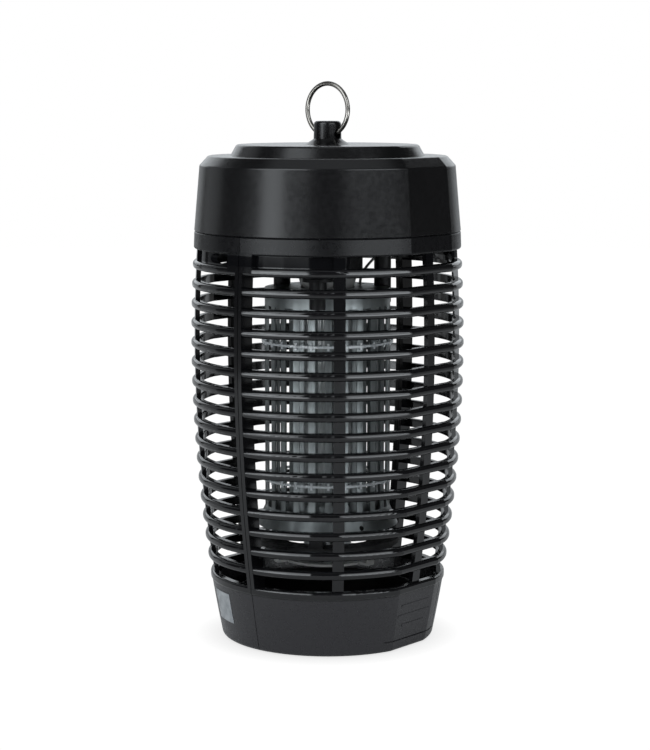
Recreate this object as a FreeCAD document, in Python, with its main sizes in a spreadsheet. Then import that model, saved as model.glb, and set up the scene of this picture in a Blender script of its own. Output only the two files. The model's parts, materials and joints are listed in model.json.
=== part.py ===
import FreeCAD, Part
import math
import os
import Sketcher

# Lantern-shaped electric bug zapper, in millimetres.
# +Z is up, the ground is z = 0 and the lantern's axis is x = y = 0.
# The front flat faces -Y, and the two half shells meet in the plane y = 0.

SIZES = {
    # barrel cage
    "barrel_radius": 100.9,       # largest rib radius
    "barrel_middle": 218.9,       # height of the largest radius
    "barrel_arc": 1085.0,         # radius of the barrel's vertical curve
    "flat_angle": 14.3,           # half of the angle that a flat takes
    "rib_count": 16,
    "rib_lowest": 61.6,           # height of the lowest rib's middle
    "rib_pitch": 14.42,
    "rib_tall": 6.3,
    "rib_deep": 5.8,
    "column_wide": 8.3,
    "column_inset": 2.4,          # column face behind the rib face
    "column_angle": 46.0,         # corner columns, from the front and the rear
    "panel_inset": 4.6,           # side panel behind the rib face
    "panel_thick": 2.4,
    "strip_wide": 3.0,            # seam strip of one half shell
    "web_deep": 12.0,             # seam web, measured inwards
    "seam_gap": 0.5,
    "tab_wide": 22.6,
    "tab_low": 277.2,
    "wall": 2.8,
    # base
    "base_tall": 49.2,
    "lip_tall": 6.0,
    "lip_proud": 0.5,
    "base_round": 3.6,
    "opening_radius": 66.3,       # tray opening in the base's floor
    "groove_low": 7.6,            # plaque groove on the base's front
    "groove_right": 33.0,
    "groove_left": 28.0,
    "groove_wide": 1.0,
    "label_wide": 25.0,
    "label_low": 16.4,
    "label_high": 38.6,
    # band and cap
    "band_low": 289.6,
    "band_radius": 98.5,
    "cap_low": 302.2,
    "cap_radius": 98.05,
    "chamfer_low": 350.1,
    "chamfer_radius": 93.94,
    "shoulder_high": 357.0,
    "shoulder_radius": 87.6,
    "disc_high": 365.1,
    "disc_radius": 71.8,
    "disc_draft": 5.0,
    "neck_high": 382.2,
    "neck_radius": 9.9,
    "flare_radius": 17.8,
    "flare_tall": 4.2,
    "eye_high": 372.9,            # axis of the ring's hole
    "eye_radius": 3.8,
    "ring_radius": 18.9,          # ring wire's centre line
    "wire_radius": 1.7,
    # grids
    "grid_radius": 46.5,
    "grid_low": 84.0,
    "skirt_radius": 52.5,         # flared foot of the drum
    "skirt_high": 97.0,
    "grid_high": 260.3,
    "post_radius": 6.35,
    "collar_radius": 11.3,
    "collar_low": 268.0,
    "sheet": 0.8,
    "strip_low": 98.0,
    "strip_high": 247.8,
    "slot_wide": 7.2,
    "inner_radius": 38.0,
    "inner_slot_wide": 5.6,
    "slot_count": 24,
    "slot_phase": 2.2,            # angle of the first slot from the front
    "comb_upper": 220.7,
    "comb_lower": 118.5,
    # lamp
    "tube_radius": 6.0,
    "tube_circle": 12.5,          # circle through the four tube limbs
    "lamp_low": 53.0,
    "cup_low": 259.8,
    "cup_high": 268.0,
    "cup_small": 19.2,
    "cup_large": 21.7,
    "socket_radius": 26.0,
    # decks and tray
    "deck_low": 294.5,
    "deck_thick": 3.0,
    "deck_radius": 90.0,
    "screw_circle": 84.0,
    "frame_low": 70.0,
    "frame_thick": 4.0,
    "tray_radius": 66.0,
    "tray_high": 34.0,
    # cord
    "cord_radius": 3.0,
    "coil_radius": 44.0,
}

doc = FreeCAD.newDocument("bug_zapper")
sheet = doc.addObject("Spreadsheet::Sheet", "Sizes")
for row, (alias, value) in enumerate(SIZES.items(), start=1):
    sheet.set(f"A{row}", alias.replace("_", " "))
    sheet.set(f"B{row}", str(value))
    sheet.setAlias(f"B{row}", alias)
doc.recompute()

nodes = {}


class Size:
    """A length that knows its value and the sheet expression that gives it."""

    def __init__(self, text, value):
        self.text = text
        self.value = value

    def join(self, sign, other, value):
        return Size(f"({self.text} {sign} {as_size(other).text})", value)

    def __add__(self, other):
        return self.join("+", other, self.value + as_size(other).value)

    def __sub__(self, other):
        return self.join("-", other, self.value - as_size(other).value)

    def __mul__(self, other):
        return self.join("*", other, self.value * as_size(other).value)

    def __truediv__(self, other):
        return self.join("/", other, self.value / as_size(other).value)

    def __neg__(self):
        return Size(f"(0 - {self.text})", -self.value)


def as_size(number):
    if isinstance(number, Size):
        return number
    return Size(f"({number})", float(number))


def of(alias):
    """The sheet's size of that name."""
    return Size(f"Sizes.{alias}", float(sheet.get(alias)))


def mm(alias):
    """The sheet's value of that name, as a plain number."""
    return float(sheet.get(alias))


def vector(x, y, z=0.0):
    return FreeCAD.Vector(x, y, z)


UP = vector(0, 0, 1)
AXIS = vector(0, 0, 0)


def around(angle, radius, height=0.0):
    """Point at an angle from the front flat, turning towards +X."""
    turn = math.radians(angle)
    return vector(radius * math.sin(turn), -radius * math.cos(turn), height)


def turned(angle, height=0.0):
    """Placement that turns a piece drawn facing the front to an angle."""
    return FreeCAD.Placement(vector(0, 0, height), FreeCAD.Rotation(UP, angle))


# ---------------------------------------------------------------- document helpers

def keep(name, item):
    """Names a finished sub-part, so that it is checked and written."""
    item.Label = name
    nodes[name] = item
    return item


def feature(name, shape, placement=None):
    """A sub-part whose shape comes from Part's own functions."""
    item = doc.addObject("Part::Feature", name)
    item.Shape = shape
    if placement:
        item.Placement = placement
    return item


def bind(item, **sizes):
    """Binds properties of a primitive to sheet expressions."""
    for prop, amount in sizes.items():
        amount = as_size(amount)
        setattr(item, prop, amount.value)
        item.setExpression(prop, amount.text)
    return item


def move(item, x=0, y=0, z=0):
    """Places an unturned object, with its position bound to the sheet."""
    for part, amount in (("x", x), ("y", y), ("z", z)):
        item.setExpression(f"Placement.Base.{part}", as_size(amount).text)
    return item


def block(name, length, width, height, x=0, y=0, z=0):
    """Box centred on x and y, standing on z."""
    item = bind(doc.addObject("Part::Box", name), Length=length, Width=width, Height=height)
    return move(item, as_size(x) - as_size(length) / 2, as_size(y) - as_size(width) / 2, z)


def rod(name, radius, height, x=0, y=0, z=0):
    """Upright cylinder standing on z."""
    item = bind(doc.addObject("Part::Cylinder", name), Radius=radius, Height=height)
    return move(item, x, y, z)


def settle(item, placement):
    """Gives an object a free placement instead of one bound to the sheet."""
    for part in ("x", "y", "z"):
        item.setExpression(f"Placement.Base.{part}", None)
    item.Placement = placement
    return item


def placed(item, place, direction):
    """Turns a piece from +Z to a direction and moves it to a place."""
    return settle(item, FreeCAD.Placement(place, FreeCAD.Rotation(UP, direction)))


def radial_block(name, width, deep, tall, angle, middle, height):
    """Block turned to an angle, its middle at a radius, standing on a height."""
    item = block(name, width, deep, tall)
    rotation = FreeCAD.Rotation(UP, angle)
    corner = rotation.multVec(vector(-width / 2, -deep / 2))
    return settle(item, FreeCAD.Placement(around(angle, middle, height) + corner, rotation))


def fuse(name, *items):
    item = doc.addObject("Part::MultiFuse", name)
    item.Shapes = list(items)
    return item


def cut(name, base, *tools):
    item = doc.addObject("Part::Cut", name)
    item.Base = base
    item.Tool = tools[0] if len(tools) == 1 else fuse(name + "_tools", *tools)
    return item


def group(name, *items):
    """Several separate, identical solids that share one node."""
    item = doc.addObject("Part::Compound", name)
    item.Links = list(items)
    return item


def spin_copies(name, make, angles):
    """Separate copies of one piece, made facing the front, at each angle."""
    copies = []
    for index, angle in enumerate(angles):
        piece = make(f"{name}_{index}")
        piece.Placement = turned(angle)
        copies.append(piece)
    return group(name, *copies)


def plane_sketch(body, name, role):
    """Sketch on one of the body's own origin planes."""
    item = body.newObject("Sketcher::SketchObject", name)
    plane = next(f for f in body.Origin.OriginFeatures if f.Role == role)
    item.AttachmentSupport = [(plane, "")]
    item.MapMode = "FlatFace"
    return item


def draw_loop(item, corners):
    """Closed outline of straight lines, each corner bound to the sheet."""
    corners = [(as_size(x), as_size(y)) for x, y in corners]
    count = len(corners)
    points = [vector(x.value, y.value) for x, y in corners]
    for index in range(count):
        item.addGeometry(Part.LineSegment(points[index], points[(index + 1) % count]))
    for index in range(count):
        item.addConstraint(Sketcher.Constraint("Coincident", index, 2, (index + 1) % count, 1))
    for index, (x, y) in enumerate(corners):
        for kind, amount in (("DistanceX", x), ("DistanceY", y)):
            rule = Sketcher.Constraint(kind, -1, 1, index, 1, amount.value)
            number = item.addConstraint(rule)
            item.setExpression(f"Constraints[{number}]", amount.text)


def lathe(name, corners):
    """Round body: an outline of (radius, height) corners turned about the axis."""
    body = doc.addObject("PartDesign::Body", name)
    profile = plane_sketch(body, name + "_outline", "XZ_Plane")
    draw_loop(profile, corners)
    turn = body.newObject("PartDesign::Revolution", name + "_turn")
    turn.Profile = profile
    turn.ReferenceAxis = (profile, ["V_Axis"])
    turn.Angle = 360
    profile.Visibility = False
    return body


def tube(name, inner, outer, low, high):
    """Plain round tube or washer."""
    return lathe(name, [(inner, low), (outer, low), (outer, high), (inner, high)])


# ---------------------------------------------------------------- barrel geometry

FLAT = math.cos(math.radians(mm("flat_angle")))    # flat's distance over the radius


def barrel(height):
    """Radius of the barrel curve at a height."""
    rise = height - mm("barrel_middle")
    arc = mm("barrel_arc")
    return mm("barrel_radius") - arc + math.sqrt(arc**2 - rise**2)


def outline(radius, flat, height):
    """Circle with a front and a rear flat, as a closed wire."""
    half = math.sqrt(radius**2 - flat**2)
    front_left = vector(-half, -flat, height)
    front_right = vector(half, -flat, height)
    rear_right = vector(half, flat, height)
    rear_left = vector(-half, flat, height)
    return Part.Wire([
        Part.makeLine(front_left, front_right),
        Part.Arc(front_right, vector(radius, 0, height), rear_right).toShape(),
        Part.makeLine(rear_right, rear_left),
        Part.Arc(rear_left, vector(-radius, 0, height), front_left).toShape(),
    ])


def piece_edge(points, scale, inset, place):
    """Straight edge through two (radius, height) points, or an arc through three."""
    spots = [place(scale * r - inset, z) for r, z in points]
    if len(spots) == 2:
        return Part.makeLine(*spots)
    return Part.Arc(*spots).toShape()


def side_face(pieces, scale, inset, edge_at, place):
    """Face between an outline's side and a straight edge at a fixed distance."""
    side = [piece_edge(points, scale, inset, place) for points in pieces]
    (low_r, low_z), (high_r, high_z) = pieces[0][0], pieces[-1][-1]
    start = place(scale * low_r - inset, low_z)
    end = place(scale * high_r - inset, high_z)
    far_low, far_high = place(edge_at, low_z), place(edge_at, high_z)
    loop = side + [
        Part.makeLine(end, far_high),
        Part.makeLine(far_high, far_low),
        Part.makeLine(far_low, start),
    ]
    return Part.Face(Part.Wire(loop))


def flatted_solid(pieces, inset=0.0):
    """Turned solid whose side follows the pieces, with its front and rear flats."""
    side = side_face(pieces, 1.0, inset, 0.0, lambda r, z: vector(r, 0, z))
    solid = side.revolve(AXIS, UP, 360)
    reach = 2 * mm("barrel_radius")
    for sign in (-1, 1):
        slab = side_face(pieces, FLAT, inset, reach, lambda r, z: vector(-reach, sign * r, z))
        solid = solid.cut(slab.extrude(vector(2 * reach, 0, 0)))
    return solid


def rounded_corner(before, corner, after, radius):
    """Arc, as three (radius, height) points, that rounds one corner of an outline."""
    a, b, c = (vector(r, z) for r, z in (before, corner, after))
    back, ahead = (a - b).normalize(), (c - b).normalize()
    half = back.getAngle(ahead) / 2
    reach = radius / math.tan(half)
    middle = b + (back + ahead).normalize() * (radius / math.sin(half) - radius)
    return tuple((p.x, p.y) for p in (b + back * reach, middle, b + ahead * reach))


def barrel_solid(low, high, inset):
    """Solid barrel between two heights, with its flats, offset inwards by inset."""
    heights = (low, (low + high) / 2, high)
    return flatted_solid([tuple((barrel(z), z) for z in heights)], inset)


def barrel_skin(low, high, outer_inset, inner_inset):
    """Curved wall between two insets of the barrel."""
    return barrel_solid(low, high, outer_inset).cut(barrel_solid(low, high, inner_inset))


def level_edges(solid, height, beyond):
    """Edges that lie flat at a height, outside a radius."""
    found = []
    for edge in solid.Edges:
        box = edge.BoundBox
        far = max(math.hypot(v.X, v.Y) for v in edge.Vertexes)
        if abs(box.ZMin - height) < 0.01 and abs(box.ZMax - height) < 0.01 and far > beyond:
            found.append(edge)
    return found


def flatted_ring(low, tall, radius, deep, rounding):
    """Horizontal rib that follows the flatted outline, with rounded outer edges."""
    outer = Part.Face(outline(radius, FLAT * radius, low)).extrude(UP * tall)
    inner = outline(radius - deep, FLAT * radius - deep, low)
    ring = outer.cut(Part.Face(inner).extrude(UP * tall))
    edges = level_edges(ring, low, radius - 1) + level_edges(ring, low + tall, radius - 1)
    return ring.makeFillet(rounding, edges)


def beam(angle, near, far, width, low, high):
    """Radial block at an angle from the front."""
    solid = Part.makeBox(width, far - near, high - low, vector(-width / 2, -far, low))
    solid.rotate(AXIS, UP, angle)
    return solid


# ---------------------------------------------------------------- half shells

RIB_ROUND = 2.7
LIP_ROUND = 1.7
BAND_ROUND = 1.4
EDGE_BREAK = 0.6              # chamfer on both sides of the line under the cap
TAB_PROUD = 0.3               # tab in front of the rib face
WEB_PROUD = 0.2               # seam web in front of the rib face
COLUMN_TURN = mm("column_angle")
COLUMN_ANGLES = (
    0, COLUMN_TURN, 180 - COLUMN_TURN, 180, 180 + COLUMN_TURN, 360 - COLUMN_TURN,
)
SEAM_ANGLES = (90, 270)
SCREW_SEAT = 9.8              # shell screw's head seat, behind the seam plane
SCREW_END = 10.0              # shell screw's tip, in front of the seam plane
SHANK = 1.7
HEAD = 3.2
HEAD_TALL = 2.4
PLAY = 0.05                   # clearance of a shank in its hole
BASE_SCREW = (73.0, 22.0)     # side distance and height
TAB_SCREW = (89.8, 285.3)
CAP_SCREW_ANGLES = (45, 135, 225, 315)
LEDGE_TALL = 2.6              # ledge under the deck
LUG_ANGLES = (30, 150, 270)   # tray lugs
LUG_REACH = 69.6
LUG_WIDE = 10.0
LUG_TURN = 35.0               # turn that frees the lugs
FRAME_REACH = 83.0            # lower frame's arm tips
FRAME_ARM = 9.0


def ribs():
    """The horizontal ribs of the whole cage."""
    made = []
    for index in range(int(mm("rib_count"))):
        middle = mm("rib_lowest") + index * mm("rib_pitch")
        low = middle - mm("rib_tall") / 2
        made.append(flatted_ring(low, mm("rib_tall"), barrel(middle), mm("rib_deep"), RIB_ROUND))
    return made


def seam_blocks(width, low, high):
    """Radial blocks at both seams, to pick out webs and tabs."""
    reach = mm("barrel_radius") + 5
    left, right = (beam(angle, 60, reach, width, low, high) for angle in SEAM_ANGLES)
    return left.fuse(right)


def columns():
    """Upright bars behind the ribs, deep seam webs and the tabs under the band."""
    low = mm("base_tall") - mm("lip_tall")
    high = mm("band_low") + 1
    reach = mm("barrel_radius") + 5
    beams = [beam(a, 60, reach, mm("column_wide"), low, high) for a in COLUMN_ANGLES]
    bars = barrel_skin(low, high, mm("column_inset"), mm("rib_deep"))
    bars = bars.common(beams[0].multiFuse(beams[1:]))
    width = 2 * mm("strip_wide") + mm("seam_gap")
    webs = barrel_skin(low, high, -WEB_PROUD, mm("web_deep"))
    webs = webs.common(seam_blocks(width, low, high))
    tabs = barrel_skin(mm("tab_low"), high, -TAB_PROUD, mm("web_deep") + 1.5)
    tabs = tabs.common(seam_blocks(mm("tab_wide"), mm("tab_low"), high))
    return [bars, webs, tabs]


def side_panels():
    """Recessed walls that close the cage's sides from the top rib to the ledge."""
    low = mm("rib_lowest") + (mm("rib_count") - 1) * mm("rib_pitch")
    high = mm("deck_low") - 1
    inset = mm("panel_inset")
    reach = 2 * mm("barrel_radius")
    half = barrel(low) * math.cos(math.radians(COLUMN_TURN))
    sides = Part.makeBox(2 * reach, 2 * half, high - low, vector(-reach, -half, low))
    return barrel_skin(low, high, inset, inset + mm("panel_thick")).common(sides)


def base_wall():
    """Solid-walled base with a rounded foot, a lip and a floor ring."""
    high = mm("base_tall")
    lip_low = high - mm("lip_tall")
    outer = barrel_solid(0, lip_low + 1, 0)
    foot = level_edges(outer, 0, mm("opening_radius"))
    outer = outer.makeFillet(mm("base_round"), foot)
    outer = outer.cut(barrel_solid(mm("wall"), lip_low + 1, mm("wall")))
    lip_radius = barrel(high - mm("lip_tall") / 2) + mm("lip_proud")
    lip = flatted_ring(lip_low, mm("lip_tall"), lip_radius, mm("rib_deep"), LIP_ROUND)
    opening = Part.makeCylinder(mm("opening_radius"), 2 * mm("wall"), vector(0, 0, -1))
    notches = [
        beam(a + LUG_TURN, 60, LUG_REACH + 0.6, LUG_WIDE + 1.2, -1, 2 * mm("wall"))
        for a in LUG_ANGLES
    ]
    return [outer.cut(opening.multiFuse(notches)), lip]


def band():
    """Plain band under the cap, with the ledge that carries the deck."""
    foot, radius = mm("band_radius"), mm("cap_radius")
    low, high = mm("band_low"), mm("cap_low") - 0.25
    turn = rounded_corner((foot - 9, low), (foot, low), (radius, high), BAND_ROUND)
    brim = (radius, high - EDGE_BREAK)
    pieces = [turn, (turn[-1], brim), (brim, (radius - EDGE_BREAK, high))]
    wall = flatted_solid(pieces).cut(flatted_solid([((foot, low), (radius, high))], mm("wall")))
    ledge_low = mm("deck_low") - LEDGE_TALL
    ledge = Part.Face(outline(radius - 1, FLAT * radius - 1, ledge_low)).extrude(UP * LEDGE_TALL)
    tools = [Part.makeCylinder(mm("screw_circle") - 5, 9, vector(0, 0, ledge_low - 3))]
    for angle in CAP_SCREW_ANGLES:
        foot_place = around(angle, mm("screw_circle"), ledge_low - 3)
        tools.append(Part.makeCylinder(SHANK + PLAY, 9, foot_place))
    return [wall, ledge.cut(tools[0].multiFuse(tools[1:]))]


def seam_screw_bosses(side, height, reach):
    """Boss along Y that takes one screw across the seam."""
    boss = Part.makeCylinder(4.6, 2 * reach, vector(side, -reach, height), vector(0, 1, 0))
    return boss.common(barrel_solid(height - 6, height + 6, 1.0))


def seam_screw_hole(side, height):
    """Shank hole and the deep head recess behind it."""
    along = vector(0, 1, 0)
    length = SCREW_SEAT + SCREW_END + 1
    shank = Part.makeCylinder(SHANK + PLAY, length, vector(side, -SCREW_END - 0.5, height), along)
    recess = Part.makeCylinder(HEAD + 0.4, 60, vector(side, SCREW_SEAT, height), along)
    return shank.fuse(recess)


GROOVE_DEEP = 0.8
BAR_PROUD = 0.3
BAR_TALL = 1.8
BAR_LOW = 18.0
BAR_PITCH = 7.5
BAR_HALVES = (13, 19, 16)


def plaque_groove():
    """Groove along the lower and right edge of the plaque on the base's front."""
    low, line = mm("groove_low"), mm("groove_wide")
    right, left = mm("groove_right"), mm("groove_left")
    high = mm("base_tall") - mm("lip_tall")
    skin = barrel_skin(low - 1, high, -1, GROOVE_DEEP)
    across = Part.makeBox(right + left, 60, line, vector(-left, -100, low))
    upright = Part.makeBox(line, 60, high - low, vector(right - line, -100, low))
    return across.fuse(upright).common(skin)


def plaque_bars():
    """Plain raised bars on the plaque."""
    skin = barrel_skin(10, 42, -BAR_PROUD, BAR_PROUD)
    bars = []
    for index, half in enumerate(BAR_HALVES):
        corner = vector(-half, -100, BAR_LOW + BAR_PITCH * index)
        bars.append(Part.makeBox(2 * half, 60, BAR_TALL, corner).common(skin))
    return bars


def web_notches():
    """Pockets in the seam webs that hold the lower frame's arms."""
    gap, length = 0.2, 40.0
    low, tall, wide = mm("frame_low") - gap, mm("frame_thick") + 2 * gap, FRAME_ARM + 2 * gap
    made = []
    for side in (-1, 1):
        middle = side * (FRAME_REACH + gap - length / 2)
        made.append(Part.makeBox(length, wide, tall, vector(middle - length / 2, -wide / 2, low)))
    return made


def cage():
    """Both half shells as one solid, before the seam cut."""
    parts = ribs() + columns() + base_wall() + band() + plaque_bars() + [side_panels()]
    for side in (-1, 1):
        parts.append(seam_screw_bosses(side * BASE_SCREW[0], BASE_SCREW[1], 40))
    whole = parts[0].multiFuse(parts[1:])
    tools = [plaque_groove()] + web_notches()
    for side in (-1, 1):
        tools.append(seam_screw_hole(side * BASE_SCREW[0], BASE_SCREW[1]))
        tools.append(seam_screw_hole(side * TAB_SCREW[0], TAB_SCREW[1]))
    return whole.cut(tools[0].multiFuse(tools[1:]))


def half_shells():
    """Front and rear half of the cage, split along the seam plane."""
    whole = cage()
    reach = 3 * mm("barrel_radius")
    gap = mm("seam_gap") / 2
    for name, sign in (("front_half_shell", -1), ("rear_half_shell", 1)):
        corner = vector(-reach / 2, gap if sign > 0 else -gap - reach, -1)
        side = Part.makeBox(reach, reach, mm("cap_low") + 2, corner)
        keep(name, feature(name, whole.common(side).removeSplitter()))


# ---------------------------------------------------------------- cap and ring

GLAND_ANGLE = 158.0
GLAND_HIGH = 322.0
GLAND_HOLE = 5.0
NECK_TAPER = 0.3              # neck's foot wider than its top
NECK_ROUND = 2.4
DISC_ROUND = 2.6


def cap_solid(inset):
    """Cap's outer form, or its hollow when inset."""
    foot = (mm("cap_radius") - EDGE_BREAK, mm("cap_low"))
    brim = (mm("cap_radius"), mm("cap_low") + EDGE_BREAK)
    edge = (mm("chamfer_radius"), mm("chamfer_low") - inset * 0.4)
    shoulder = (mm("shoulder_radius"), mm("shoulder_high") - inset)
    middle = (0.0, mm("shoulder_high") - inset)
    first = rounded_corner(brim, edge, shoulder, 2.0)
    second = rounded_corner(edge, shoulder, middle, 2.4)
    pieces = [(foot, brim), (brim, first[0]), first, (first[-1], second[0]), second]
    body = flatted_solid(pieces, inset)
    low = mm("shoulder_high") - inset - 1
    high = mm("disc_high") - inset
    disc = Part.makeCone(
        mm("disc_radius") - inset, mm("disc_radius") - mm("disc_draft") - inset,
        high - low, vector(0, 0, low),
    )
    if inset == 0:
        disc = disc.makeFillet(DISC_ROUND, level_edges(disc, high, 1))
    return body.fuse(disc)


def neck():
    """Neck with a flared foot, turned about the axis, and the ring's hole in it."""
    low, foot, top = mm("disc_high") - 1, mm("disc_high"), mm("neck_high")
    radius, wide = mm("neck_radius"), mm("flare_radius")
    flare = vector(radius + NECK_TAPER, 0, foot + mm("flare_tall"))
    start = vector(wide, 0, foot)
    middle = (start + flare) * 0.5 - vector(0.3, 0, 0.3)
    corners = [vector(0, 0, top), vector(0, 0, low), vector(wide, 0, low), start]
    edges = [Part.makeLine(a, b) for a, b in zip(corners, corners[1:])]
    edges += [
        Part.Arc(start, middle, flare).toShape(),
        Part.makeLine(flare, vector(radius, 0, top)),
        Part.makeLine(vector(radius, 0, top), corners[0]),
    ]
    solid = Part.Face(Part.Wire(edges)).revolve(AXIS, UP, 360)
    solid = solid.makeFillet(NECK_ROUND, level_edges(solid, top, 1))
    eye = Part.makeCylinder(mm("eye_radius"), 60, vector(0, -30, mm("eye_high")), vector(0, 1, 0))
    return solid, eye


def upper_cap():
    """Hollow cap with screw pillars, a cord hole and the ring's neck."""
    solid, eye = neck()
    whole = cap_solid(0).fuse(solid)
    hollow = cap_solid(mm("wall"))
    pillars = []
    pillar_low = mm("deck_low") + mm("deck_thick") + 0.1
    for angle in CAP_SCREW_ANGLES:
        foot = around(angle, mm("screw_circle"), pillar_low)
        pillar = Part.makeCylinder(4.0, mm("shoulder_high") - pillar_low - 1, foot)
        pilot = Part.makeCylinder(SHANK + PLAY, 16, foot)
        pillars.append(pillar.cut(pilot))
    cord_hole = Part.makeCylinder(
        GLAND_HOLE, 20, around(GLAND_ANGLE, 85, GLAND_HIGH), around(GLAND_ANGLE, 1)
    )
    shell = whole.cut(hollow).multiFuse(pillars).cut(eye.fuse(cord_hole))
    keep("upper_cap", feature("upper_cap", shell.removeSplitter()))


def hanging_ring():
    """Closed wire ring through the neck's hole, standing upright."""
    item = bind(
        doc.addObject("Part::Torus", "hanging_ring"),
        Radius1=of("ring_radius"), Radius2=of("wire_radius"),
    )
    reach = mm("neck_radius")
    sag = mm("ring_radius") - math.sqrt(mm("ring_radius") ** 2 - reach**2)
    centre = mm("eye_high") - sag / 2 + mm("ring_radius")
    item.Placement = FreeCAD.Placement(
        vector(0, 0, centre), FreeCAD.Rotation(vector(0, 1, 0), 90)
    )
    keep("hanging_ring", item)


# ---------------------------------------------------------------- screws

def screw(name, shank_long):
    """Pan-head screw standing on its head, with a cross recess."""
    head = rod(name + "_head", HEAD, HEAD_TALL)
    shank = rod(name + "_shank", SHANK, HEAD_TALL + shank_long)
    slots = [
        block(name + "_slot_a", 3.6, 0.8, 1.2, z=-0.01),
        block(name + "_slot_b", 0.8, 3.6, 1.2, z=-0.01),
    ]
    return cut(name, fuse(name + "_body", head, shank), *slots)


def screws():
    ledge_low = mm("deck_low") - LEDGE_TALL
    cap_set = []
    for angle in CAP_SCREW_ANGLES:
        place = around(angle, mm("screw_circle"), ledge_low - HEAD_TALL)
        cap_set.append(placed(screw(f"cap_screw_{angle}", 18), place, UP))
    keep("cap_screws", group("cap_screws", *cap_set))
    shell_set = []
    for side in (-1, 1):
        for reach, height in (BASE_SCREW, TAB_SCREW):
            place = vector(side * reach, SCREW_SEAT + HEAD_TALL, height)
            name = f"shell_screw_{side}_{height:.0f}".replace("-", "m")
            item = screw(name, SCREW_SEAT + SCREW_END)
            shell_set.append(placed(item, place, vector(0, -1, 0)))
    keep("shell_screws", group("shell_screws", *shell_set))
    post_set = []
    for angle in POST_ANGLES:
        place = around(angle, POST_RADIUS, mm("deck_low") + mm("deck_thick") + HEAD_TALL)
        post_set.append(placed(screw(f"post_screw_{angle}", 12), place, -UP))
    keep("post_screws", group("post_screws", *post_set))


# ---------------------------------------------------------------- deck and posts

POST_ANGLES = (-60, 60, 180)
POST_RADIUS = 44.0


def mid_plate():
    """Deck over the grids, with pillars for the circuit board and a well."""
    low = of("deck_low")
    deck = tube("deck_disc", of("socket_radius") - 7.5, of("deck_radius"), low, low + of("deck_thick"))
    pillars = [
        rod(f"pillar_{x}_{y}".replace("-", "m"), 3.0, 7.0, x, y, low + of("deck_thick"))
        for x, y in BOARD_CORNERS
    ]
    well_place = around(219, 44)
    well = block("well", 24, 24, 22, well_place.x, well_place.y, low - 22 + 0.5)
    hollow = block("well_hollow", 21, 21, 30, well_place.x, well_place.y, low - 20)
    holes = [
        rod(f"post_hole_{a}".replace("-", "m"), SHANK + PLAY, 12, p.x, p.y, low - 4)
        for a, p in ((a, around(a, POST_RADIUS)) for a in POST_ANGLES)
    ]
    holes += [
        rod(f"rim_hole_{a}", SHANK + PLAY, 12, p.x, p.y, low - 4)
        for a, p in ((a, around(a, mm("screw_circle"))) for a in CAP_SCREW_ANGLES)
    ]
    holes += [
        rod(f"wire_hole_{i}", WIRE_HOLE, 12, p.x, p.y, low - 4) for i, p in enumerate(WIRE_TOPS)
    ]
    whole = fuse("deck_whole", deck, well, *pillars)
    keep("mid_plate", cut("mid_plate", whole, hollow, *holes))


def grid_post(name):
    """Insulating post: stem from the deck, collar, and a tongue down the drum's side."""
    low, top = of("strip_high"), of("deck_low")
    stem = rod(name + "_stem", of("post_radius"), top - low, 0, -POST_RADIUS, low)
    collar = rod(name + "_collar", of("collar_radius"), 2.4, 0, -POST_RADIUS, of("collar_low"))
    drum = rod(name + "_drum", of("grid_radius") + 0.1, of("grid_high") + 0.1 - low, 0, 0, low)
    pilot = rod(name + "_pilot", SHANK + PLAY, 14, 0, -POST_RADIUS, top - 13.9)
    return cut(name, fuse(name + "_body", stem, collar), drum, pilot)


def grid_posts():
    keep("grid_posts", spin_copies("grid_posts", grid_post, POST_ANGLES))


# ---------------------------------------------------------------- grids

def slot_cutters(name, width, low, high, radius):
    """Radial blocks that cut the slots between the strips."""
    count = int(mm("slot_count"))
    turns = [mm("slot_phase") + index * 360 / count for index in range(count)]
    return [
        radial_block(f"{name}_{index}", width, 10, high - low, turn, radius, low)
        for index, turn in enumerate(turns)
    ]


SKIRT_HOLES = (-21.5, 98.5, 218.5)    # angles of the holes near the drum's lower edge


def outer_grid():
    """Drum with a top plate, a flared foot, and upright strips between slots."""
    out, thin = of("grid_radius"), of("sheet")
    low, high = of("grid_low"), of("grid_high")
    eye = of("cup_small") + 1.1
    skirt, waist = of("skirt_radius"), of("skirt_high")
    drum = lathe("outer_drum", [
        (skirt - thin, low), (skirt, low), (out, waist), (out, high), (eye, high),
        (eye, high - thin), (out - thin, high - thin), (out - thin, waist),
    ])
    tools = slot_cutters(
        "outer_slot", mm("slot_wide"), mm("strip_low"), mm("strip_high"), mm("grid_radius"),
    )
    for index, turn in enumerate(SKIRT_HOLES):
        place = around(turn, mm("grid_radius") - 4, mm("grid_low") + 3.5)
        tools.append(placed(rod(f"skirt_hole_{index}", 1.9, 12), place, around(turn, 1)))
    spot = around(*WIRE_EYE)
    tools.append(rod("lead_hole", LEAD_HOLE, 4, spot.x, spot.y, high - 2))
    keep("outer_grid", cut("outer_grid", drum, *tools))


def inner_grid():
    """Smaller drum of strips, open at both ends."""
    out, thin = of("inner_radius"), of("sheet")
    drum = tube("inner_drum", out - thin, out, of("grid_low") + 5, of("grid_high") - 6)
    tools = slot_cutters(
        "inner_slot", mm("inner_slot_wide"), mm("strip_low") + 4, mm("strip_high") - 4,
        mm("inner_radius"),
    )
    keep("inner_grid", cut("inner_grid", drum, *tools))


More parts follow.
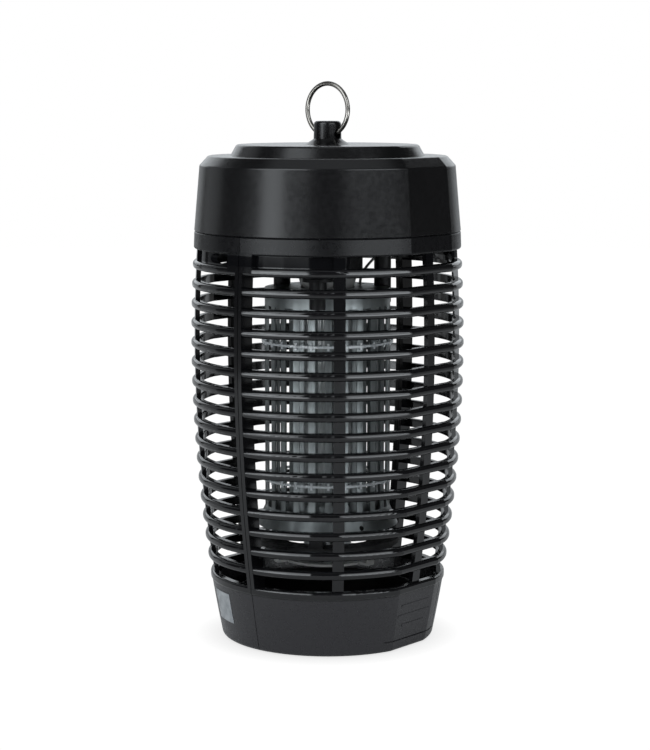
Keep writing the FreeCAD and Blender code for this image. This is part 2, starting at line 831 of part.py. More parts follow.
def comb_ring(name, middle):
    """Clear ring round the drum, with a clip on each strip and a prong in each slot."""
    inner = mm("grid_radius") + 0.15
    half = 0.8
    foot = vector(0, 0, middle - half)
    ring = Part.makeCylinder(inner + 2.2, 2 * half, foot)
    ring = ring.cut(Part.makeCylinder(inner, 2 * half, foot))
    count = int(mm("slot_count"))
    bits = []
    for index in range(count):
        slot = mm("slot_phase") + 360 / count * index
        strip = slot + 180 / count
        bits.append(beam(strip, inner + 0.1, inner + 1.2, 1.6, middle - 2.6, middle + 2.6))
        bits.append(beam(slot, mm("inner_radius") + 0.4, inner + 1.5, 1.4, middle - half, middle + half))
    keep(name, feature(name, ring.multiFuse(bits).removeSplitter()))


# ---------------------------------------------------------------- lamp

LIMB_ANGLES = (-70, 20, 110, 200)


def lamp_limb_pair(first, second):
    """One folded glass tube: two limbs joined by a half-round bend at the foot."""
    radius = mm("tube_circle")
    top = mm("cup_low") + 14
    start, end = around(first, radius), around(second, radius)
    reach = (end - start).Length / 2
    bend = mm("lamp_low") + mm("tube_radius") + reach
    middle = (start + end) * 0.5
    lifted = [vector(p.x, p.y, bend) for p in (start, end)]
    path = Part.Wire([
        Part.makeLine(vector(start.x, start.y, top), lifted[0]),
        Part.Arc(lifted[0], vector(middle.x, middle.y, bend - reach), lifted[1]).toShape(),
        Part.makeLine(lifted[1], vector(end.x, end.y, top)),
    ])
    walls = []
    for radius in (mm("tube_radius"), mm("tube_radius") - 0.9):
        ring = Part.Wire(Part.makeCircle(radius, vector(start.x, start.y, top), UP))
        walls.append(path.makePipeShell([ring], True, True))
    return walls[0].cut(walls[1])


def lamp():
    """Folded tubes in a plastic cup with a screw thread cap above."""
    pairs = (LIMB_ANGLES[:2], LIMB_ANGLES[2:])
    tubes = [lamp_limb_pair(*pair) for pair in pairs]
    keep("lamp_tubes", feature("lamp_tubes", Part.makeCompound(tubes)))
    small, large = of("cup_small"), of("cup_large")
    low, high = of("cup_low"), of("cup_high")
    cup = lathe("cup_body", [
        (0, low), (small, low), (large, high), (large, high + 20), (13, high + 24), (0, high + 24),
    ])
    holes = [
        rod(f"limb_hole_{a}".replace("-", "m"), of("tube_radius") + PLAY, 15, p.x, p.y, low - 0.5)
        for a, p in ((a, around(a, mm("tube_circle"))) for a in LIMB_ANGLES)
    ]
    keep("lamp_cup", cut("lamp_cup", cup, *holes))
    foot = high + 24.1
    thread = []
    steps = 5
    for step in range(steps):
        thread += [(12.4, foot + 2 + 3.6 * step), (13.2, foot + 3.8 + 3.6 * step)]
    keep("lamp_screw_shell", lathe("lamp_screw_shell", [
        (0, foot), (12.4, foot), *thread, (12.4, foot + 2 + 3.6 * steps),
        (5, foot + 24), (0, foot + 24),
    ]))


def lamp_socket():
    """Black holder: collar round the cup below the deck, neck above it."""
    collar, neck_out = of("socket_radius"), of("socket_radius") - 7.6
    low = of("cup_high") + 0.6
    cup = of("cup_large") + 0.25
    deck = of("deck_low") - 0.05
    body = lathe("lamp_socket", [
        (cup, low), (collar, low), (collar, deck), (neck_out, deck),
        (neck_out, low + 54), (0, low + 54), (0, low + 50), (13.6, low + 50),
        (13.6, low + 24), (cup, low + 19.8),
    ])
    keep("lamp_socket", body)


RING_LOW = 56.0
RING_THICK = 1.8


def lamp_ring():
    """Pale ring round the lamp's foot, hung from the lower frame by three arms."""
    pieces = [tube("ring_plate", 25, 33, RING_LOW, RING_LOW + RING_THICK)]
    drop = mm("frame_low") - RING_LOW
    for angle in (0, 120, 240):
        pieces.append(radial_block(f"ring_arm_{angle}", 7, 9, RING_THICK, angle, 37, RING_LOW))
        pieces.append(radial_block(f"ring_drop_{angle}", 7, 1.6, drop, angle, 40.7, RING_LOW))
    keep("lamp_ring", fuse("lamp_ring", *pieces))


def lower_frame():
    """Black ring under the grids, with two arms held in the seam webs."""
    low, thick = of("frame_low"), of("frame_thick")
    ring = tube("frame_ring", 38, 54, low, low + thick)
    arms = []
    for index, side in enumerate((-1, 1)):
        middle = side * (FRAME_REACH + 50) / 2
        arms.append(block(f"frame_arm_{index}", FRAME_REACH - 50, FRAME_ARM, thick, middle, 0, low))
    keep("lower_frame", fuse("lower_frame", ring, *arms))


def grid_foot(name):
    """Insulating foot under both drums."""
    top = of("frame_low") + of("frame_thick")
    low, middle = of("grid_low"), -(of("skirt_radius") - 7)
    pad = block(name + "_pad", 10, 16, low - top, 0, middle, top)
    step = block(name + "_step", 10, 3.4, low + 5 - top, 0, -(of("inner_radius") + 1.0), top)
    return fuse(name, pad, step)


def grid_feet():
    keep("grid_feet", spin_copies("grid_feet", grid_foot, POST_ANGLES))


# ---------------------------------------------------------------- circuit

BOARD_CORNERS = ((-62, -26), (-26, -52), (-62, 26), (-30, 52))
WIRE_TOPS = (around(73, 66), around(80, 61))
WIRE_EYE = (86, 37.0)         # angle and radius of the inner lead's hole in the drum
WIRE_RADIUS = 1.1
WIRE_HOLE = 3.2               # holes for the leads in the deck
LEAD_HOLE = 3.2               # hole for the inner lead in the drum's top plate
BOARD_LONG = 106.0


def circuit():
    """Board beside the socket, with the parts of a high-voltage supply."""
    top = of("deck_low") + of("deck_thick") + 7.1
    board = block("board_plate", 50, BOARD_LONG, 1.6, -47, 0, top)
    keep("circuit_board", board)
    face = top + 1.7
    core = block("core_block", 28, 24, 20, -50, -30, face)
    window = block("core_window", 16, 30, 12, -50, -30, face + 4)
    keep("transformer_core", cut("transformer_core", core, window))
    winding = block("winding_block", 15.6, 34, 11.6, -50, -30, face + 4.2)
    keep("transformer_coil", bind_fillet("transformer_coil", winding, 3.0))
    cans = [rod(f"can_{i}", 5.0, 20, -56 + 14 * i, 6, face) for i in range(3)]
    keep("capacitors", group("capacitors", *cans))
    keep("fuse_holder", block("fuse_holder", 22, 8, 8, -48, 24, face))
    terminal = block("terminal_body", 30, 10, 12, -46, 42, face)
    slots = [rod(f"terminal_screw_{i}", 2.0, 6, -56 + 10 * i, 42, face + 8) for i in range(3)]
    keep("terminal_block", cut("terminal_block", terminal, *slots))


def bind_fillet(name, base, radius):
    """Rounded copy of a block, every edge with the same radius."""
    doc.recompute()
    item = doc.addObject("Part::Fillet", name)
    item.Base = base
    item.Edges = [(index + 1, radius, radius) for index in range(len(base.Shape.Edges))]
    return item


def sweep(points, radius, start_direction):
    """Round wire along a smooth curve through points."""
    spline = Part.BSplineCurve()
    spline.interpolate(points)
    path = Part.Wire(spline.toShape())
    ring = Part.Wire(Part.makeCircle(radius, points[0], start_direction))
    return path.makePipeShell([ring], True, False)


def hv_wires():
    """Two insulated leads from the circuit down to the two grids."""
    rim = mm("grid_high")
    lands = (
        around(76, mm("grid_radius") + WIRE_RADIUS + 0.8, rim - 5),
        around(WIRE_EYE[0], WIRE_EYE[1], rim - 5),
    )
    made = []
    for top, land in zip(WIRE_TOPS, lands):
        deck = mm("deck_low")
        bend = vector(land.x, land.y, rim + 5)
        slope = (top - bend) * 0.5
        points = [
            vector(top.x, top.y, deck + 10),
            vector(top.x, top.y, deck - 3),
            vector(bend.x + slope.x, bend.y + slope.y, (deck + rim) / 2 + 2),
            bend,
            land,
        ]
        made.append(sweep(points, WIRE_RADIUS, UP))
    keep("hv_wires", feature("hv_wires", Part.makeCompound(made)))


# ---------------------------------------------------------------- tray

def collection_tray():
    """Twist-lock tray: cup, three lugs over the floor ring and a grip bar."""
    out, thin = of("tray_radius"), as_size(2.0)
    cup = lathe("tray_cup", [
        (0, 4), (57, 4), (58.5, 0.6), (out, 0.6), (out, of("tray_high")),
        (out - thin, of("tray_high")), (out - thin, 6), (0, 6),
    ])
    lugs = [
        feature(f"lug_{angle}", beam(angle, mm("tray_radius") - 1, LUG_REACH, LUG_WIDE, 3.1, 5.6))
        for angle in LUG_ANGLES
    ]
    grip = block("tray_grip", 104, 7, 3.6, 0, 0, 0.8)
    keep("collection_tray", fuse("collection_tray", cup, grip, *lugs))


# ---------------------------------------------------------------- cord and plug

CORD_DROP = 163.0
COIL_PLACE = around(129, 152.0)


def cord_gland():
    """Strain relief in the cap's rear wall."""
    bore, length = mm("cord_radius") + 0.8, 17.0
    profile = [
        (bore, -6.6), (6.6, -6.6), (6.6, -4.0), (4.8, -4.0), (4.8, 1.0),
        (7.0, 1.0), (7.0, 3.6), (4.6, length), (bore, length),
    ]
    loop = Part.makePolygon([vector(r, 0, z) for r, z in profile + profile[:1]])
    solid = Part.Face(loop).revolve(AXIS, UP, 360)
    wall = cap_wall_at(GLAND_ANGLE, GLAND_HIGH)
    place = FreeCAD.Placement(wall, FreeCAD.Rotation(UP, around(GLAND_ANGLE, 1)))
    keep("cord_gland", feature("cord_gland", solid, place))


def cap_wall_at(angle, height):
    """Point on the cap's outer wall."""
    share = (height - mm("cap_low")) / (mm("chamfer_low") - mm("cap_low"))
    radius = mm("cap_radius") + share * (mm("chamfer_radius") - mm("cap_radius"))
    return around(angle, radius, height)


COIL_TURNS = 2.06
COIL_START = 150.0            # degrees in plan where the coil begins
COIL_FLOOR = 4.6              # cord's middle in the lowest turn
COIL_RISE = 6.4               # climb of one turn


def coil_point(share):
    """Point on the coil's centre line, from its start (0) to its end (1)."""
    angle = math.radians(COIL_START - 360 * COIL_TURNS * share)
    radius = mm("coil_radius") - 3.0 * share
    rise = COIL_FLOOR + share * COIL_TURNS * COIL_RISE
    return COIL_PLACE + vector(radius * math.cos(angle), radius * math.sin(angle), rise)


def cord_points():
    """Cord's centre line: out of the cap, down the rear and into a flat coil."""
    points = [around(GLAND_ANGLE, r, GLAND_HIGH) for r in (62, 80, 100, 112)]
    points += [around(GLAND_ANGLE + 1.5, 124, GLAND_HIGH - 9)]
    for step in range(1, 6):
        share = step / 6
        angle = GLAND_ANGLE + 2 + (CORD_DROP - GLAND_ANGLE) * share
        points.append(around(angle, 124 - 12 * share, GLAND_HIGH - 20 - share * (GLAND_HIGH - 60)))
    points.append(around(CORD_DROP, 112, 30))
    points.append(around(CORD_DROP - 2, 122, 10))
    steps = 28
    points += [coil_point(step / steps) for step in range(steps + 1)]
    heading = level_heading(points)
    end = points[-1]
    points += [end + heading * 9 + UP * 1.6, end + heading * 20 + UP * 4.6, end + heading * 31 + UP * 5.4]
    return points


def level_heading(points):
    """Level direction of the cord at its last point."""
    way = points[-1] - points[-2]
    return vector(way.x, way.y).normalize()


def mains_cord():
    points = cord_points()
    cord = sweep(points, mm("cord_radius"), points[1] - points[0])
    keep("mains_cord", feature("mains_cord", cord))
    return points


PLUG_SECTIONS = ((-3.0, 9.8, 9.8), (9.0, 11.4, 10.2), (14.0, 26.0, 13.6), (34.0, 35.0, 13.6))
PLUG_ROUND = 2.6
PIN_SIDE = 9.3                # half the distance between the pins
PIN_RADIUS = 2.0
PIN_LONG = 27.0
PIN_FOOT = 26.1
CORD_GRIP = 8.0               # length of cord inside the plug


def mains_plug(points):
    """Flat two-pin plug at the cord's end, lying on the coil."""
    heading = level_heading(points)
    sections = []
    for along, wide, tall in PLUG_SECTIONS:
        x, y = wide / 2, tall / 2
        loop = [vector(sx * x, sy * y, along) for sx, sy in ((-1, -1), (1, -1), (1, 1), (-1, 1))]
        sections.append(Part.makePolygon(loop + loop[:1]))
    body = Part.makeLoft(sections, True, True)
    body = body.makeFillet(PLUG_ROUND, [e for e in body.Edges if e.BoundBox.ZLength > 1])
    holes = [Part.makeCylinder(mm("cord_radius") + 0.9, CORD_GRIP + 4.5, vector(0, 0, -4))]
    pins = []
    for side in (-1, 1):
        hole_foot = vector(side * PIN_SIDE, 0, PIN_FOOT - 0.1)
        holes.append(Part.makeCylinder(PIN_RADIUS + PLAY, 9, hole_foot))
        pin = Part.makeCylinder(PIN_RADIUS, PIN_LONG, vector(side * PIN_SIDE, 0, PIN_FOOT))
        pins.append(pin.makeFillet(0.9, [pin.Edges[0]]))
    body = body.cut(holes[0].multiFuse(holes[1:]))
    side = UP.cross(heading)
    matrix = FreeCAD.Matrix(
        side.x, UP.x, heading.x, 0, side.y, UP.y, heading.y, 0, side.z, UP.z, heading.z, 0, 0, 0, 0, 1
    )
    place = FreeCAD.Placement(points[-1] - heading * CORD_GRIP, FreeCAD.Placement(matrix).Rotation)
    keep("mains_plug", feature("mains_plug", body, place))
    keep("plug_pins", feature("plug_pins", Part.makeCompound(pins), place))


def cord_extras():
    """Clamp that holds the cord on the deck, and the tie round the coil."""
    place = around(GLAND_ANGLE, 72, GLAND_HIGH)
    gap = mm("cord_radius") + 0.1
    low = mm("deck_low") + mm("deck_thick") + 0.1
    body = Part.makeBox(16, 8, GLAND_HIGH + gap + 3 - low, vector(-8, -4, low))
    body = body.cut(Part.makeCylinder(gap, 20, vector(0, -10, GLAND_HIGH), vector(0, 1, 0)))
    body.rotate(AXIS, UP, GLAND_ANGLE)
    body.translate(vector(place.x, place.y, 0))
    keep("cord_clamp", feature("cord_clamp", body))
    high = COIL_FLOOR + COIL_TURNS * COIL_RISE + mm("cord_radius") + 1.6
    tie = Part.makeBox(12, 7, high, vector(-6, -3.5, 0.1))
    tie = tie.cut(Part.makeBox(10, 9, high - 2, vector(-5, -4.5, 1.1)))
    tie.translate(COIL_PLACE + vector(mm("coil_radius") - 1.5, 0, 0))
    keep("cord_tie", feature("cord_tie", tie))


LABEL_ANGLE = -116.5


def blank_label():
    """Plain unprinted sticker on the rear half of the base."""
    low, high = mm("label_low"), mm("label_high")
    skin = barrel_skin(low - 1, high + 1, -0.3, -0.05)
    patch = beam(LABEL_ANGLE, 60, 110, mm("label_wide"), low, high)
    keep("blank_label", feature("blank_label", skin.common(patch)))


# ---------------------------------------------------------------- build, check and write

def build():
    upper_cap()
    hanging_ring()
    half_shells()
    mid_plate()
    grid_posts()
    screws()
    outer_grid()
    inner_grid()
    comb_ring("comb_ring_upper", mm("comb_upper"))
    comb_ring("comb_ring_lower", mm("comb_lower"))
    lamp()
    lamp_socket()
    lamp_ring()
    lower_frame()
    grid_feet()
    circuit()
    hv_wires()
    collection_tray()
    cord_gland()
    points = mains_cord()
    mains_plug(points)
    cord_extras()
    blank_label()


def check():
    """Stops the build if any object failed or any sub-part has no valid shape."""
    doc.recompute()
    for item in doc.Objects:
        if "Invalid" in item.State or "Error" in item.State:
            raise RuntimeError(f"{item.Name} failed: {item.State}")
    for name, item in nodes.items():
        if item.Shape.isNull() or not item.Shape.isValid() or not item.Shape.Solids:
            raise RuntimeError(f"{name} has no valid solid")


def write():
    os.makedirs("parts", exist_ok=True)
    for name, item in nodes.items():
        item.Shape.exportStep(f"parts/{name}.step")


build()
check()
write()
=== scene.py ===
import json
import math

import bpy
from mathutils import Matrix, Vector

# Electric bug zapper: black barrel cage round a metal grid drum and a lamp.
# Metres, +Z up, ground at z = 0, front flat towards -Y.

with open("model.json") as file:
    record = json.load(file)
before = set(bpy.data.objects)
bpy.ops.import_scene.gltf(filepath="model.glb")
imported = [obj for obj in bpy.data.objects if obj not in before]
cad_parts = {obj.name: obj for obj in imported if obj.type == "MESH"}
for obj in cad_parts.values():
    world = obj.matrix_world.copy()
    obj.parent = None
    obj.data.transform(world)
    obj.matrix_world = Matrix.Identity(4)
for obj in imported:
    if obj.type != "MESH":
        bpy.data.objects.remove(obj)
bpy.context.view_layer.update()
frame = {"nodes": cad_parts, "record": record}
nodes = frame["nodes"]


# ---------------------------------------------------------------- material helpers

# Sockets of the Mix node, which share their names across data types.
MIX_FLOAT_A = 2
MIX_FLOAT_B = 3
MIX_COLOR_A = 6
MIX_COLOR_B = 7
MIX_COLOR_OUT = 2


class Shader:
    """A node material with a Principled surface, and short calls to add nodes."""

    def __init__(self, name, color, roughness, metallic=0.0, ior=1.5):
        self.material = bpy.data.materials.new(name)
        self.material.use_nodes = True
        self.tree = self.material.node_tree
        self.surface = self.tree.nodes["Principled BSDF"]
        self.set("Base Color", (*color, 1.0))
        self.set("Roughness", roughness)
        self.set("Metallic", metallic)
        self.set("IOR", ior)
        self.place = self.add("ShaderNodeNewGeometry").outputs["Position"]

    def add(self, kind, **values):
        node = self.tree.nodes.new(kind)
        for name, value in values.items():
            setattr(node, name, value)
        return node

    def set(self, name, value):
        self.surface.inputs[name].default_value = value

    def link(self, source, target):
        self.tree.links.new(source, target)

    def feed(self, source, name):
        self.link(source, self.surface.inputs[name])

    def noise(self, scale, detail=3.0, stretch=(1.0, 1.0, 1.0)):
        """Noise value, in features per metre, optionally stretched."""
        scaled = self.add("ShaderNodeVectorMath", operation="MULTIPLY")
        scaled.inputs[1].default_value = stretch
        self.link(self.place, scaled.inputs[0])
        node = self.add("ShaderNodeTexNoise")
        node.inputs["Scale"].default_value = scale
        node.inputs["Detail"].default_value = detail
        self.link(scaled.outputs[0], node.inputs["Vector"])
        return node.outputs["Fac"]

    def spread(self, source, low, high, start=0.35, end=0.65):
        """Maps a value from start..end to low..high."""
        node = self.add("ShaderNodeMapRange")
        for name, value in (("From Min", start), ("From Max", end), ("To Min", low), ("To Max", high)):
            node.inputs[name].default_value = value
        self.link(source, node.inputs["Value"])
        return node.outputs["Result"]

    def mottle(self, scale, first, second, detail=4.0):
        """Feeds a base colour that wanders between two colours."""
        share = self.spread(self.noise(scale, detail), 0, 1)
        self.feed(self.blend_colors(share, first, second), "Base Color")

    def blend_colors(self, share, first, second):
        node = self.add("ShaderNodeMix", data_type="RGBA")
        node.inputs[MIX_COLOR_A].default_value = (*first, 1.0)
        node.inputs[MIX_COLOR_B].default_value = (*second, 1.0)
        self.link(share, node.inputs["Factor"])
        return node.outputs[MIX_COLOR_OUT]

    def bump(self, height, strength, distance):
        """Adds a bump, on top of any earlier one."""
        node = self.add("ShaderNodeBump")
        node.inputs["Strength"].default_value = strength
        node.inputs["Distance"].default_value = distance
        self.link(height, node.inputs["Height"])
        normal = self.surface.inputs["Normal"]
        if normal.is_linked:
            self.link(normal.links[0].from_socket, node.inputs["Normal"])
        self.link(node.outputs["Normal"], normal)

    def height(self):
        """The point's z in metres."""
        node = self.add("ShaderNodeSeparateXYZ")
        self.link(self.place, node.inputs[0])
        return node.outputs["Z"]


def satin_black():
    """Moulded black plastic with a fine spark texture and faint flow marks."""
    s = Shader("satin_black", (0.003, 0.003, 0.0034), 0.24)
    s.feed(s.spread(s.noise(300, 3), 0.22, 0.27), "Roughness")
    s.mottle(14, (0.0026, 0.0026, 0.003), (0.004, 0.004, 0.0044))
    s.bump(s.noise(1900, 2), 0.05, 0.0002)
    return s.material


# Heights where the cage's finish and its painted shade change, and how far each change is spread.
BASE_TOP = 0.0424
RECESS_LOW = 0.2813
BAND_LOW = 0.2885
EDGE = 0.001
RECESS_EDGE = 0.0005
BAND_SHADE_LIFT = -0.3             # takes this share of the painted shade back off in the band


def cage_black():
    """Glossy ribs; the band above and the base wall are satin; the recess, and the band in part, have
    their reflection turned down as painted shade.
    """
    s = Shader("cage_black", (0.0028, 0.0028, 0.0031), 0.14)
    z = s.height()
    band = s.spread(z, 0, 1, BAND_LOW, BAND_LOW + EDGE)
    base = s.spread(z, 1, 0, BASE_TOP, BASE_TOP + EDGE)
    satin = s.add("ShaderNodeMath", operation="MAXIMUM")
    s.link(band, satin.inputs[0])
    s.link(base, satin.inputs[1])
    rough = s.add("ShaderNodeMix", data_type="FLOAT")
    s.link(satin.outputs[0], rough.inputs["Factor"])
    s.link(s.spread(s.noise(40, 3), 0.07, 0.10), rough.inputs[MIX_FLOAT_A])
    s.link(s.spread(s.noise(300, 3), 0.26, 0.34), rough.inputs[MIX_FLOAT_B])
    s.feed(rough.outputs[0], "Roughness")
    s.feed(s.blend_colors(base, (0.0026, 0.0026, 0.003), (0.0095, 0.009, 0.0105)), "Base Color")
    # Painted shade: reflection turned down fully in the recess under the band and partly in the band,
    # so both read darker.
    painted_shade = s.add("ShaderNodeMath", operation="MULTIPLY_ADD")
    s.link(band, painted_shade.inputs[0])
    painted_shade.inputs[1].default_value = BAND_SHADE_LIFT
    s.link(s.spread(z, 0, 1, RECESS_LOW, RECESS_LOW + RECESS_EDGE), painted_shade.inputs[2])
    s.feed(s.spread(painted_shade.outputs[0], 0.5, 0.05, 0, 1), "Specular IOR Level")
    grain = s.add("ShaderNodeMath", operation="MULTIPLY")
    s.link(s.noise(1900, 2), grain.inputs[0])
    s.link(satin.outputs[0], grain.inputs[1])
    s.bump(grain.outputs[0], 0.03, 0.0002)
    s.bump(s.noise(30, 2), 0.04, 0.002)
    return s.material


def inner_black():
    s = Shader("inner_black", (0.004, 0.004, 0.0044), 0.5)
    s.feed(s.spread(s.noise(300, 3), 0.42, 0.6), "Roughness")
    s.set("Specular IOR Level", 0.3)
    s.bump(s.noise(1800, 2), 0.2, 0.0002)
    return s.material


def wire_steel():
    """Polished wire, darkened a little by handling, with a faint warm cast."""
    s = Shader("wire_steel", (0.27, 0.26, 0.24), 0.26, metallic=1.0)
    s.feed(s.spread(s.noise(60, 3), 0.22, 0.3), "Roughness")
    s.mottle(40, (0.23, 0.22, 0.20), (0.32, 0.305, 0.285))
    return s.material


def screw_steel():
    s = Shader("screw_steel", (0.5, 0.5, 0.49), 0.3, metallic=1.0)
    s.feed(s.spread(s.noise(900, 3), 0.22, 0.4), "Roughness")
    return s.material


def grid_metal():
    """Dulled zinc-plated sheet with faint upright rolling marks."""
    s = Shader("grid_metal", (0.2, 0.215, 0.215), 0.34, metallic=0.85)
    s.feed(s.spread(s.noise(220, 4, (1, 1, 0.04)), 0.28, 0.44), "Roughness")
    s.mottle(60, (0.17, 0.185, 0.188), (0.24, 0.26, 0.26))
    return s.material


def clear_plastic():
    s = Shader("clear_plastic", (0.80, 0.84, 0.86), 0.2, ior=1.49)
    s.set("Transmission Weight", 0.45)
    s.feed(s.spread(s.noise(300, 3), 0.16, 0.26), "Roughness")
    return s.material


def lamp_glass():
    """Glass tube with a grey-white coating seen through its surface."""
    s = Shader("lamp_glass", (0.33, 0.355, 0.355), 0.12)
    s.mottle(40, (0.29, 0.315, 0.315), (0.37, 0.395, 0.395))
    s.set("Coat Weight", 0.6)
    s.set("Coat Roughness", 0.05)
    return s.material


def pale_plastic():
    s = Shader("pale_plastic", (0.36, 0.36, 0.35), 0.42)
    s.feed(s.spread(s.noise(200, 3), 0.36, 0.5), "Roughness")
    s.bump(s.noise(1500, 2), 0.1, 0.0002)
    return s.material


def board_green():
    s = Shader("board_green", (0.02, 0.12, 0.05), 0.35)
    s.mottle(700, (0.015, 0.10, 0.04), (0.03, 0.15, 0.06), 2.0)
    return s.material


def ferrite():
    s = Shader("ferrite", (0.03, 0.03, 0.033), 0.55)
    s.bump(s.noise(1500, 4), 0.3, 0.0003)
    return s.material


def copper_wire():
    s = Shader("copper_wire", (0.55, 0.2, 0.07), 0.3, metallic=1.0)
    s.bump(s.noise(2500, 1, (0.1, 1, 1)), 0.4, 0.0004)
    return s.material


def can_metal():
    s = Shader("can_metal", (0.55, 0.55, 0.57), 0.35, metallic=1.0)
    s.feed(s.spread(s.noise(500, 3), 0.28, 0.42), "Roughness")
    return s.material


def brass():
    s = Shader("pin_brass", (0.66, 0.55, 0.33), 0.25, metallic=1.0)
    s.feed(s.spread(s.noise(700, 3), 0.18, 0.36), "Roughness")
    return s.material


def cord_rubber():
    s = Shader("cord_rubber", (0.012, 0.012, 0.013), 0.48)
    s.feed(s.spread(s.noise(500, 3), 0.42, 0.56), "Roughness")
    s.bump(s.noise(1200, 3), 0.15, 0.0002)
    return s.material


def sleeve():
    s = Shader("wire_sleeve", (0.48, 0.48, 0.46), 0.35)
    s.feed(s.spread(s.noise(400, 3), 0.3, 0.42), "Roughness")
    return s.material


def label_foil():
    """Silver foil sticker, lightly creased, with nothing printed on it."""
    s = Shader("label_foil", (0.42, 0.45, 0.47), 0.34, metallic=0.5)
    s.mottle(160, (0.26, 0.28, 0.295), (0.40, 0.42, 0.435))
    s.bump(s.noise(260, 4), 0.25, 0.0004)
    return s.material


FINISHES = {
    "cap_plastic": satin_black,
    "cage_plastic": cage_black,
    "tray_plastic": inner_black,
    "inner_plastic": inner_black,
    "ring_steel": wire_steel,
    "screw_steel": screw_steel,
    "grid_metal": grid_metal,
    "clear_plastic": clear_plastic,
    "lamp_glass": lamp_glass,
    "pale_plastic": pale_plastic,
    "thread_metal": can_metal,
    "board_green": board_green,
    "ferrite": ferrite,
    "copper_wire": copper_wire,
    "can_aluminium": can_metal,
    "wire_sleeve": sleeve,
    "cord_rubber": cord_rubber,
    "plug_plastic": satin_black,
    "pin_brass": brass,
    "label_foil": label_foil,
}
made = {}


def finish(slot):
    if slot not in made:
        made[slot] = FINISHES[slot]()
    return made[slot]


def paint_cad_nodes():
    """Gives every carried-over CAD node its procedural finish."""
    for part in frame["record"]["subparts"]:
        node = nodes[part["node"]]
        node.data.materials.clear()
        node.data.materials.append(finish(part["material_slot"]))


# ---------------------------------------------------------------- camera and studio

VIEW_AZIMUTH = -51.0
VIEW_PITCH = 7.607
VIEW_DISTANCE = 1.563
VIEW_HEIGHT = 0.4032
VIEW_PAN = 0.068
FOCAL_PER_HEIGHT = 2.8268
SENSOR = 24.0
LIGHT_TINT = (0.95, 1.0, 1.04)
FLOOR_GLOW = 0.08             # light the floor adds to what the studio gives it
FLOOR_RADIUS = 4.0
FLOOR_DROP = 0.0005           # keeps the floor just under the feet
CONTACT_REACH = 0.03          # how near the base must be for the painted contact shadow on the floor
BOX_DISTANCE = 1.25
BACK_DISTANCE = 1.9
TOP_SIZE = 1.2
TOP_HEIGHT = 1.6


def direction(azimuth):
    """Level unit vector from the lantern towards an azimuth, 0 at -Y, turning to +X."""
    turn = math.radians(azimuth)
    return Vector((math.sin(turn), -math.cos(turn), 0.0))


def add_camera():
    data = bpy.data.cameras.new("camera")
    data.sensor_fit = "VERTICAL"
    data.sensor_height = SENSOR
    data.lens = SENSOR * FOCAL_PER_HEIGHT
    camera = bpy.data.objects.new("camera", data)
    camera.location = direction(VIEW_AZIMUTH) * VIEW_DISTANCE + Vector((0, 0, VIEW_HEIGHT))
    camera.rotation_euler = (
        math.radians(90 - VIEW_PITCH), 0, math.radians(VIEW_AZIMUTH + VIEW_PAN),
    )
    bpy.context.scene.collection.objects.link(camera)
    bpy.context.scene.camera = camera


def panel_light(name, width, tall, radiance):
    """Rectangular light facing down, with a given brightness, hidden from the camera."""
    data = bpy.data.lights.new(name, "AREA")
    data.shape = "RECTANGLE"
    data.size = width
    data.size_y = tall
    data.energy = radiance * width * tall * math.pi
    data.color = LIGHT_TINT
    light = bpy.data.objects.new(name, data)
    light.visible_camera = False
    bpy.context.scene.collection.objects.link(light)
    return light


def softbox(name, azimuth, distance, low, high, width, radiance):
    """Upright light facing the lantern's axis; its azimuth is counted from the camera's."""
    light = panel_light(name, width, high - low, radiance)
    outward = direction(VIEW_AZIMUTH + azimuth) * distance
    light.location = outward + Vector((0, 0, (low + high) / 2))
    light.rotation_euler = outward.to_track_quat("Z", "Y").to_euler()
    return light


def camera_switch(tree, seen, unseen):
    """Colour that differs for camera rays and for everything else."""
    path = tree.nodes.new("ShaderNodeLightPath")
    mix = tree.nodes.new("ShaderNodeMix")
    mix.data_type = "RGBA"
    mix.inputs[MIX_COLOR_A].default_value = (*unseen, 1.0)
    mix.inputs[MIX_COLOR_B].default_value = (*seen, 1.0)
    tree.links.new(path.outputs["Is Camera Ray"], mix.inputs["Factor"])
    return mix.outputs[MIX_COLOR_OUT]


def add_world():
    world = bpy.data.worlds.new("studio")
    world.use_nodes = True
    tree = world.node_tree
    shade = tree.nodes["Background"]
    tree.links.new(camera_switch(tree, (1.0, 1.0, 1.0), (0.05, 0.05, 0.05)), shade.inputs["Color"])
    bpy.context.scene.world = world


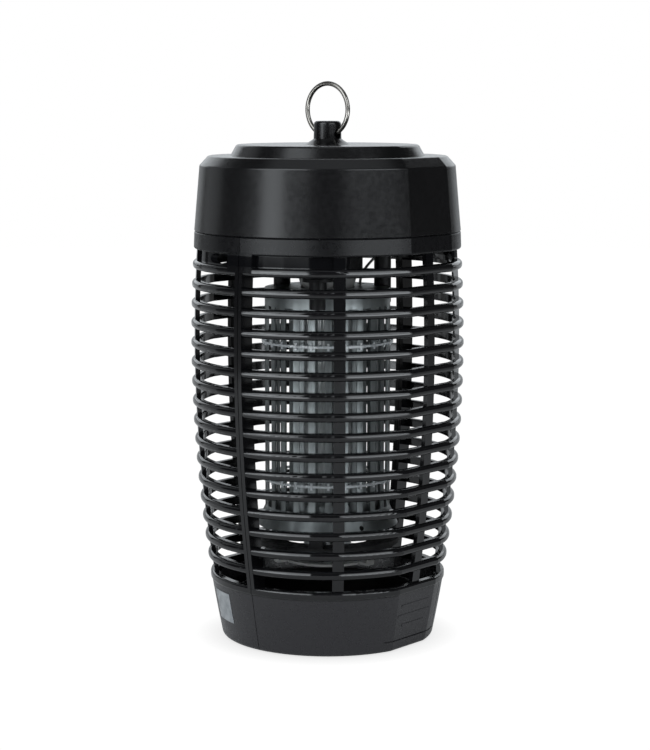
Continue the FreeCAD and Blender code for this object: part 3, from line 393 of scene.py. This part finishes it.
def add_floor():
    """Plain pale floor; the camera sees it white, with a painted contact shadow where the base comes
    near.
    """
    bpy.ops.mesh.primitive_circle_add(
        vertices=96, radius=FLOOR_RADIUS, fill_type="NGON", location=(0, 0, -FLOOR_DROP),
    )
    floor = bpy.context.object
    floor.name = "floor"
    s = Shader("floor_pale", (0.8, 0.8, 0.8), 0.9)
    s.set("Specular IOR Level", 0.0)
    s.set("Emission Color", (1.0, 1.0, 1.0, 1.0))
    s.set("Emission Strength", FLOOR_GLOW)
    # Painted contact shadow: the camera's white floor is turned darker where the base is near.
    contact_shadow = s.add("ShaderNodeAmbientOcclusion", samples=8)
    contact_shadow.inputs["Distance"].default_value = CONTACT_REACH
    white = s.add("ShaderNodeEmission")
    s.link(s.spread(contact_shadow.outputs["AO"], 0.78, 1.02, 0.25, 0.9), white.inputs["Strength"])
    path = s.add("ShaderNodeLightPath")
    mix = s.add("ShaderNodeMixShader")
    s.link(path.outputs["Is Camera Ray"], mix.inputs["Fac"])
    s.link(s.surface.outputs[0], mix.inputs[1])
    s.link(white.outputs[0], mix.inputs[2])
    s.link(mix.outputs[0], s.tree.nodes["Material Output"].inputs["Surface"])
    floor.data.materials.append(s.material)


def add_boxes():
    """Soft boxes left and right of the camera, a strip at the side, and two behind."""
    softbox("left_low", -43, BOX_DISTANCE, -0.1, 0.235, 1.32, 5.0)
    softbox("left_middle", -47, BOX_DISTANCE, 0.235, 0.6, 0.42, 2.4)
    softbox("left_high", -43, BOX_DISTANCE, 0.6, 1.5, 1.2, 3.0)
    softbox("left_top", -43, BOX_DISTANCE, 1.5, 2.3, 1.0, 2.0)
    softbox("right_low", 42, BOX_DISTANCE, -0.1, 0.235, 1.27, 5.0)
    softbox("right_high", 42, BOX_DISTANCE, 0.6, 1.5, 1.2, 2.2)
    softbox("left_strip", -117.5, BOX_DISTANCE, 0.0, 1.3, 0.6, 0.35)
    softbox("back_low", 180, BACK_DISTANCE, 0.0, 0.5, 3.2, 0.45)
    softbox("back_high", 180, BACK_DISTANCE, 0.5, 1.9, 3.2, 1.2)


def add_top_light():
    top = panel_light("top_box", TOP_SIZE, TOP_SIZE, 0.4)
    top.location = (0, 0, TOP_HEIGHT)


def add_rib_lights():
    """Two bright boxes that light the cage halves only, so the cap stays dark."""
    cage = bpy.data.collections.new("cage_only")
    cage.objects.link(nodes["front_half_shell"])
    cage.objects.link(nodes["rear_half_shell"])
    for side, azimuth in (("left", -43), ("right", 42)):
        light = softbox(side + "_ribs", azimuth, BOX_DISTANCE, 0.33, 0.7, 1.3, 4.4)
        light.light_linking.receiver_collection = cage


paint_cad_nodes()
add_camera()
add_world()
add_floor()
add_boxes()
add_top_light()
add_rib_lights()
bpy.context.scene.view_settings.view_transform = "Standard"
